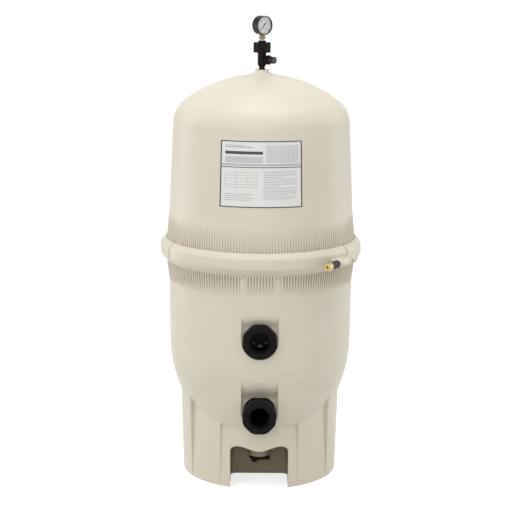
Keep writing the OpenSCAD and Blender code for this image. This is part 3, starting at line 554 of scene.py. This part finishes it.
# T-bolt, washer and nut
# A forged and rolled T-bolt of stainless steel held in the right segment's lug,
# and a round brass nut with a blind thread, on a pale zinc-plated washer.
def bolt_matrix(distance):
    """A frame on the bolt's axis whose Z runs along it towards the nut"""
    side = Vector((0, 0, 1)).cross(bolt_along).normalized()
    turn = Matrix((side, bolt_along.cross(side), bolt_along)).transposed().to_4x4()
    return Matrix.Translation(bolt_point + bolt_along * distance) @ turn


nut_face = max((Vector(v.co) - bolt_point).dot(bolt_along)
               for v in nodes["tension_nut"].data.vertices)
nut_r, nut_len, nut_hole = 0.0112, 0.0150, 0.0031
washer_t = 0.0014
# A hair of room between nut and plate, so that they don't touch as the nut turns.
nut_clear = 0.0002
verts, faces = turned_piece([
    (nut_hole, 0), (nut_r - 0.0010, 0), (nut_r, 0.0008), (nut_r, 0.0040),
    (nut_r - 0.0009, 0.0046), (nut_r - 0.0009, nut_len - 0.0046),
    (nut_r, nut_len - 0.0040), (nut_r, nut_len - 0.0012), (nut_r - 0.0012, nut_len),
    (nut_hole + 0.0030, nut_len), (nut_hole + 0.0022, nut_len - 0.0008),
    (nut_hole + 0.0006, nut_len - 0.0008), (nut_hole, nut_len - 0.0016)])
nut = link_mesh("round_nut", verts, faces, brass, "nut", bolt_matrix(nut_face - nut_len))
smooth_to(nut, 35)
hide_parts("tension_nut")
zinc = turned_metal("zinc_plated_washer", "#D6D3C8", "#B9B5A8", 0.35, 0.8)
plate_bore_r, plate_bore_edge_r = 0.0047, 0.0049
verts, faces = turned_piece([
    (plate_bore_r, 0.0002), (plate_bore_edge_r, 0),
    (nut_r + 0.0006, 0), (nut_r + 0.0009, 0.0003),
    (nut_r + 0.0009, washer_t - 0.0003), (nut_r + 0.0006, washer_t),
    (plate_bore_edge_r, washer_t), (plate_bore_r, washer_t - 0.0002)])
plate = link_mesh("nut_plate", verts, faces, zinc, "washer",
                  bolt_matrix(nut_face - nut_len - nut_clear - washer_t))
smooth_to(plate, 35)
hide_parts("nut_washer")

bolt_r = 0.0040
pitch = 0.0016
bolt_end = nut_face - 0.0120
core_r = 0.0001
head_seat = right_lug[0]
outline = [(core_r, head_seat - 0.0074), (bolt_r + 0.0034, head_seat - 0.0074),
           (bolt_r + 0.0042, head_seat - 0.0064), (bolt_r + 0.0042, head_seat - 0.0008),
           (bolt_r + 0.0036, head_seat - 0.0002), (bolt_r, head_seat - 0.0002)]
thread_from = front_lug[1] + 0.004
for i in range(int((bolt_end - thread_from) / pitch)):
    z = thread_from + i * pitch
    outline += [(bolt_r, z), (bolt_r - 0.0007, z + pitch / 2)]
outline += [(bolt_r, bolt_end - 0.0008), (bolt_r - 0.0008, bolt_end), (core_r, bolt_end)]
verts, faces = turned_piece(outline, 32)
shank = link_mesh("threaded_bolt", verts, faces, stainless, "right_segment", bolt_matrix(0))
smooth_to(shank, 40)
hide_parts("t_bolt")


# Relief knob
# Dark brown phenolic knob with a fluted grip, pressed on the relief stem.
phenolic = moulded_plastic("brown_phenolic", "#2C1C19", "#1C1211", 0.3, 1.0, 0.03, 0.3)
dress(phenolic, "relief_knob")


# Thread tape
# White PTFE tape wound on the gauge's thread, creased.
ptfe = moulded_plastic("ptfe_tape", "#F2F1EC", "#DAD8D0", 0.55, 1.2, 0.10)
dress(ptfe, "thread_tape")


# Gauge
# A 2 inch dry gauge: black enamelled steel case, snap-in bezel, printed white
# dial and a clear acrylic window.
case_enamel = moulded_plastic("black_enamelled_steel", "#060606", "#0C0C0C", 0.3, 3.0, 0.03, 0.16)
dial_white = moulded_plastic("white_dial_enamel", "#EDEDE8", "#E2E2DC", 0.5, 2.0, 0.01)
dial_ink = moulded_plastic("dial_ink", "#5C5C5C", "#666666", 0.5, 1.0, 0.01)
pointer_black = moulded_plastic("pointer_enamel", "#0C0C0C", "#141414", 0.4, 1.0, 0.01)
dress(case_enamel, "gauge_case", "gauge_bezel")
dress(dial_white, "gauge_dial")
dress(pointer_black, "gauge_pointer")

acrylic, tree = new_material("clear_acrylic_window")
finish_material(tree, {"Base Color": linear("#FBFDFD"), "Roughness": 0.03, "IOR": 1.49,
                       "Transmission Weight": 1.0})
dress(acrylic, "gauge_lens")


# Gauge dial print
# Scale marks and numbers screen printed in grey ink on the dial, round a 270
# degree sweep from 0 at the lower left.
swing = joints["pointer_swing"]
gauge_centre = Vector(swing["pos_m"])
gauge_normal = -Vector(swing["axis"]).normalized()
gauge_right = Vector((0, 0, 1)).cross(gauge_normal).normalized()
dial_low, dial_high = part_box("gauge_dial")
dial_r = (dial_high.z - dial_low.z) / 2
dial_front = max((Vector(v.co) - gauge_centre).dot(gauge_normal)
                 for v in nodes["gauge_dial"].data.vertices)
print_lift = 0.00008
gauge_frame = (
    Matrix.Translation(gauge_centre + gauge_normal * (dial_front + print_lift))
    @ Matrix((gauge_right, (0, 0, 1), gauge_normal)).transposed().to_4x4())
full_scale = 60
sweep_start = math.radians(225)
sweep = math.radians(270)


def dial_bar(verts, faces, angle, inner, outer, width):
    """Adds one radial bar of a dial's print"""
    along = Vector((math.cos(angle), math.sin(angle), 0))
    across = Vector((-math.sin(angle), math.cos(angle), 0)) * width / 2
    first = len(verts)
    verts += [along * inner - across, along * outer - across,
              along * outer + across, along * inner + across]
    faces.append([first, first + 1, first + 2, first + 3])


verts, faces = [], []
for mark in range(0, full_scale + 1, 2):
    angle = sweep_start - sweep * mark / full_scale
    major = mark % 10 == 0
    dial_bar(verts, faces, angle, dial_r * (0.72 if major else 0.78), dial_r * 0.86,
             0.0006 if major else 0.0003)
arc_steps = 90
for step in range(arc_steps):
    angle = sweep_start - sweep * (step + 0.5) / arc_steps
    dial_bar(verts, faces, angle, dial_r * 0.855, dial_r * 0.875,
             dial_r * 0.87 * sweep / arc_steps)
link_mesh("dial_marks", verts, faces, dial_ink, "lid", gauge_frame)

for number in range(0, full_scale + 1, 10):
    angle = sweep_start - sweep * number / full_scale
    text = bpy.data.curves.new("dial_number_%d" % number, "FONT")
    text.body = str(number)
    text.size = dial_r * 0.2
    text.align_x = "CENTER"
    text.align_y = "CENTER"
    text.materials.append(dial_ink)
    figure = bpy.data.objects.new("dial_number_%d" % number, text)
    bpy.context.scene.collection.objects.link(figure)
    figure.matrix_world = gauge_frame @ Matrix.Translation(
        Vector((math.cos(angle), math.sin(angle), 0)) * dial_r * 0.57)
    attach(figure, "lid")


# Label
# A film label printed in greys and pressed on the lid's wall: a dark keyline, a
# banded header, a ruled text block and a small table. It carries no lettering.
film_white = moulded_plastic("label_film", "#E2E2E0", "#D9D9D6", 0.33, 2.0, 0.01)
ink_dark = moulded_plastic("label_ink_dark", "#343434", "#404040", 0.35, 1.0, 0.01)
ink_mid = moulded_plastic("label_ink_mid", "#A4A5A6", "#B0B1B1", 0.35, 1.0, 0.01)
ink_pale = moulded_plastic("label_ink_pale", "#C2C3C3", "#B9BABA", 0.35, 1.0, 0.01)
dress(film_white, "lid_label")
label_points = [Vector(v.co) for v in nodes["lid_label"].data.vertices]
label_low, label_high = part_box("lid_label")
label_half = label_high.x


def label_radius(z):
    """Radius of the label's outer face at a height"""
    ends = []
    for end in (label_low.z, label_high.z):
        ends.append(max(math.hypot(p.x, p.y) for p in label_points
                        if abs(p.z - end) < 0.0005))
    return ends[0] + (ends[1] - ends[0]) * (z - label_low.z) / (label_high.z - label_low.z)


foot_r = label_radius(label_low.z)
crown_r = label_radius(label_high.z)
label_w = 2 * foot_r * math.asin(label_half / foot_r)
label_h = label_high.z - label_low.z
ink_lift = 0.00007


def print_bars(name, bars, ink):
    """Prints bars, each (left, bottom, right, top) as shares of the label's size"""
    verts, faces = [], []
    for left, bottom, right, top in bars:
        columns = max(1, int((right - left) * label_w / 0.006))
        first = len(verts)
        for share_z in (bottom, top):
            z = label_low.z + share_z * label_h
            r = foot_r + (crown_r - foot_r) * share_z + ink_lift
            for c in range(columns + 1):
                angle = ((left + (right - left) * c / columns) - 0.5) * label_w / foot_r
                verts.append((r * math.sin(angle), -r * math.cos(angle), z))
        for c in range(columns):
            a = first + c
            faces.append([a, a + 1, a + columns + 2, a + columns + 1])
    return link_mesh(name, verts, faces, ink, "lid")


keyline = 0.016
print_bars("label_keyline", [
    (0, 0, 1, keyline), (0, 1 - keyline, 1, 1), (0, keyline, keyline, 1 - keyline),
    (1 - keyline, keyline, 1, 1 - keyline), (keyline, 0.60, 1 - keyline, 0.612)], ink_dark)
print_bars("label_header", [
    (0.02, 0.63, 0.98, 0.655), (0.06, 0.90, 0.40, 0.915), (0.06, 0.925, 0.30, 0.936)], ink_mid)
print_bars("label_title_rule", [(0.06, 0.80, 0.52, 0.845)], ink_dark)
print_bars("label_header_tint",
           [(0.56 + 0.02 * i, 0.67, 0.572 + 0.02 * i, 0.94) for i in range(20)]
           + [(0.06, 0.67, 0.52, 0.765)], ink_pale)
rows = [0.54 - 0.027 * i for i in range(16)]
lengths = [0.40, 0.38, 0.41, 0.24, 0.40, 0.39, 0.36, 0.41,
           0.18, 0.40, 0.37, 0.41, 0.39, 0.28, 0.40, 0.33]
print_bars("label_rules", [(0.53, z, 0.53 + length, z + 0.008)
                           for z, length in zip(rows, lengths)], ink_mid)
table_rows = [0.30 + 0.045 * i for i in range(6)]
print_bars("label_table",
           [(0.06, z, 0.46, z + 0.005) for z in table_rows]
           + [(x, table_rows[0], x + 0.004, table_rows[-1]) for x in (0.06, 0.20, 0.33, 0.456)]
           + [(0.06, 0.20 - 0.03 * i, 0.42 - 0.05 * (i % 2), 0.208 - 0.03 * i)
              for i in range(4)], ink_mid)


# Tension spring
# Compression spring of oil-tempered wire, coiled with closed ends round the T-bolt
# and squeezed between the front segment's lug and the nut's washer.
def helix_tube(coil_r, wire_r, length, turns, sides=12, steps=28, closed_turns=1.0):
    """Vertices and faces of a coil spring with closed ends, along +Z from 0"""
    verts, faces = [], []
    count = int(turns * steps)
    rise = (length - 2 * wire_r * (1 + 2 * closed_turns)) / (turns - 2 * closed_turns)
    for i in range(count + 1):
        turn = i / steps
        inner = min(max(turn - closed_turns, 0), turns - 2 * closed_turns)
        ends = turn - inner
        z = wire_r + inner * rise + ends * 2 * wire_r
        angle = turn * math.tau
        out = Vector((math.cos(angle), math.sin(angle), 0))
        for k in range(sides):
            a = k * math.tau / sides
            verts.append(out * (coil_r + wire_r * math.cos(a))
                         + Vector((0, 0, z + wire_r * math.sin(a))))
    for i in range(count):
        for k in range(sides):
            a, b = i * sides + k, i * sides + (k + 1) % sides
            faces.append([a, b, b + sides, a + sides])
    faces.append(list(range(sides))[::-1])
    faces.append(list(range(count * sides, (count + 1) * sides)))
    return verts, faces


spring_start = front_lug[1]
spring_end = nut_face - nut_len - nut_clear - washer_t
spring_wire_r = 0.0019
spring_out_r = 0.0109
spring_steel = turned_metal("oil_tempered_spring_wire", "#5A5152", "#3A3334", 0.45, 1.5)
spring_turns = 9.5
verts, faces = helix_tube(spring_out_r - spring_wire_r, spring_wire_r,
                          spring_end - spring_start, spring_turns)
place = bolt_matrix(spring_start)
spring = link_mesh("spring_coil", [place @ Vector(v) for v in verts], faces, spring_steel)
for face in spring.data.polygons:
    face.use_smooth = True
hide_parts("tension_spring")
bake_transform(spring)


# Studio
# A white paper sweep under even white light from six soft boxes: one overhead,
# three in front and one at each side. The paper shows white and keeps the soft
# shadow under the skirt.
def seen_ray(tree):
    """One where the camera sees a surface, also by reflection or through the window"""
    path = add(tree, "LightPath")
    seen = add(tree, "Math", {"operation": "MAXIMUM"},
               {0: path.outputs["Is Camera Ray"], 1: path.outputs["Is Glossy Ray"]})
    return add(tree, "Math", {"operation": "MAXIMUM"},
               {0: seen.outputs[0], 1: path.outputs["Is Transmission Ray"]}).outputs[0]


paper, tree = new_material("white_paper_sweep")
sheet = add(tree, "BsdfDiffuse", {"Color": linear("#CFCFCD")})
glow = add(tree, "Emission", {"Color": (1, 1, 1, 1), "Strength": 0.68})
lit = add(tree, "AddShader", links={0: sheet.outputs[0], 1: glow.outputs[0]})
shown = add(tree, "MixShader",
            links={0: seen_ray(tree), 1: sheet.outputs[0], 2: lit.outputs[0]})
add(tree, "OutputMaterial", links={"Surface": shown.outputs[0]})
bpy.ops.mesh.primitive_plane_add(size=60)
floor = bpy.context.object
floor.name = "floor"
floor.data.materials.append(paper)

world = bpy.data.worlds.new("studio")
bpy.context.scene.world = world
world.use_nodes = True
tree = world.node_tree
tree.nodes.clear()
soft = add(tree, "Background", {"Color": (1, 1, 1, 1), "Strength": 0.61})
white = add(tree, "Background", {"Color": (1, 1, 1, 1), "Strength": 1.0})
mixed = add(tree, "MixShader",
            links={0: seen_ray(tree), 1: soft.outputs[0], 2: white.outputs[0]})
add(tree, "OutputWorld", links={"Surface": mixed.outputs[0]})


def soft_box(name, at, aim, width, height, power):
    """A rectangular studio lamp aimed at a point"""
    lamp = bpy.data.lights.new(name, "AREA")
    lamp.shape = "RECTANGLE"
    lamp.size, lamp.size_y = width, height
    lamp.energy = power
    fixture = bpy.data.objects.new(name, lamp)
    bpy.context.scene.collection.objects.link(fixture)
    fixture.location = at
    fixture.rotation_mode = "QUATERNION"
    fixture.rotation_quaternion = (Vector(aim) - Vector(at)).to_track_quat("-Z", "Y")


soft_box("overhead", (0, -0.6, 3.6), (0, 0, 0.6), 2.6, 2.6, 45)
soft_box("front", (-0.3, -4.6, 2.2), (0, 0, 0.65), 1.6, 1.6, 34)
soft_box("front_left", (-2.4, -2.8, 2.0), (0, 0, 0.65), 1.6, 2.2, 18)
soft_box("front_right", (2.6, -2.6, 1.6), (0, 0, 0.6), 1.4, 2.0, 4)
soft_box("side_left", (-2.6, 0.9, 1.0), (0, 0, 0.7), 1.2, 2.2, 17)
soft_box("side_right", (2.6, 0.9, 1.0), (0, 0, 0.7), 1.2, 2.2, 14)
